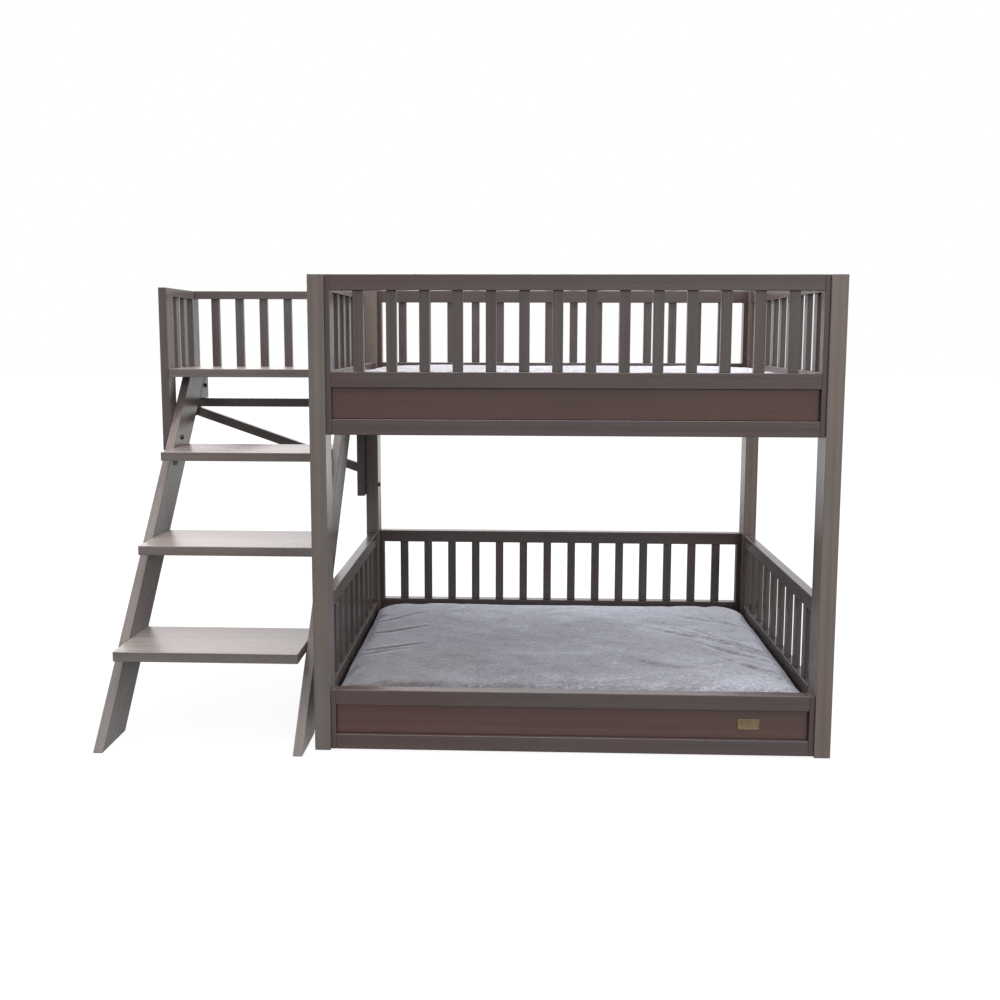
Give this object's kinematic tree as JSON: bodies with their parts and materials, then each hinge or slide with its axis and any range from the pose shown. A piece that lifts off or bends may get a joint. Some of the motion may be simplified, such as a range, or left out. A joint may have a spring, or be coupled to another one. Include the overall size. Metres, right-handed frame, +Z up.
{
  "type": "bunk bed with ladder",
  "caption": "Pet-size bunk bed in dark composite wood with slatted guards, plush cushions and a side stepladder rising to a railed landing.",
  "frame": {"origin": "on the floor, under the middle of the whole object's bounding box", "axes": "+Z up, +X to the right seen from the front (the ladder is at -X), +Y to the back"},
  "size_m": [1.308, 0.569, 0.834],
  "materials": {
    "post_composite": "satin, fine lengthwise grain",
    "rail_composite": "satin, fine lengthwise grain",
    "fascia_composite": "satin, red-brown",
    "step_composite": "satin, fine lengthwise grain",
    "deck_board": "matt",
    "plush": "short-pile plush",
    "bolt_steel": "black",
    "bracket_steel": "black",
    "glide_plastic": "matt",
    "plate_metal": "brushed, blank"
  },
  "bodies": {
    "frame": {"back_left_post": "post_composite", "back_right_post": "post_composite", "cap_nuts": "bolt_steel", "deck_bearers": "deck_board", "foot_glides": "glide_plastic", "frame_bolts": "bolt_steel", "front_left_post": "post_composite", "front_right_post": "post_composite", "landing_back_left_post": "post_composite", "landing_back_rail": "rail_composite", "landing_back_right_post": "post_composite", "landing_back_slats": "rail_composite", "landing_bolts": "bolt_steel", "landing_deck": "step_composite", "landing_diagonal_brace": "rail_composite", "landing_front_left_post": "post_composite", "landing_gussets": "rail_composite", "landing_side_rail": "rail_composite", "landing_side_slats": "rail_composite", "landing_tie_rail": "rail_composite", "left_stringer": "step_composite", "lower_back_fascia": "fascia_composite", "lower_back_fascia_rails": "rail_composite", "lower_back_slats": "rail_composite", "lower_back_top_rail": "rail_composite", "lower_deck": "deck_board", "lower_front_fascia": "fascia_composite", "lower_front_fascia_rails": "rail_composite", "lower_side_fascia_rails": "rail_composite", "lower_side_fascias": "fascia_composite", "lower_side_slats": "rail_composite", "lower_side_top_rails": "rail_composite", "lower_stiles": "rail_composite", "name_plate": "plate_metal", "right_stringer": "step_composite", "tread_1": "step_composite", "tread_2": "step_composite", "tread_3": "step_composite", "tread_brackets": "bracket_steel", "tread_screws": "bolt_steel", "upper_back_fascia": "fascia_composite", "upper_back_fascia_rails": "rail_composite", "upper_back_slats": "rail_composite", "upper_back_top_rail": "rail_composite", "upper_deck": "deck_board", "upper_front_fascia": "fascia_composite", "upper_front_fascia_rails": "rail_composite", "upper_front_slats": "rail_composite", "upper_front_top_rail": "rail_composite", "upper_left_fascia": "fascia_composite", "upper_left_fascia_rails": "rail_composite", "upper_left_slats": "rail_composite", "upper_left_top_rail": "rail_composite", "upper_right_fascia": "fascia_composite", "upper_right_fascia_rails": "rail_composite", "upper_right_slats": "rail_composite", "upper_right_top_rail": "rail_composite", "upper_stiles": "rail_composite"},
    "upper_pad": {"upper_cushion": "plush"},
    "lower_pad": {"lower_cushion": "plush"}
  },
  "joints": [
    {"name": "upper_cushion_lift", "type": "slide", "parent": "frame", "child": "upper_pad", "axis": [0, 0, 1], "range_m": [0, 0.3]},
    {"name": "lower_cushion_lift", "type": "slide", "parent": "frame", "child": "lower_pad", "axis": [0, 0, 1], "range_m": [0, 0.44]}
  ]
}
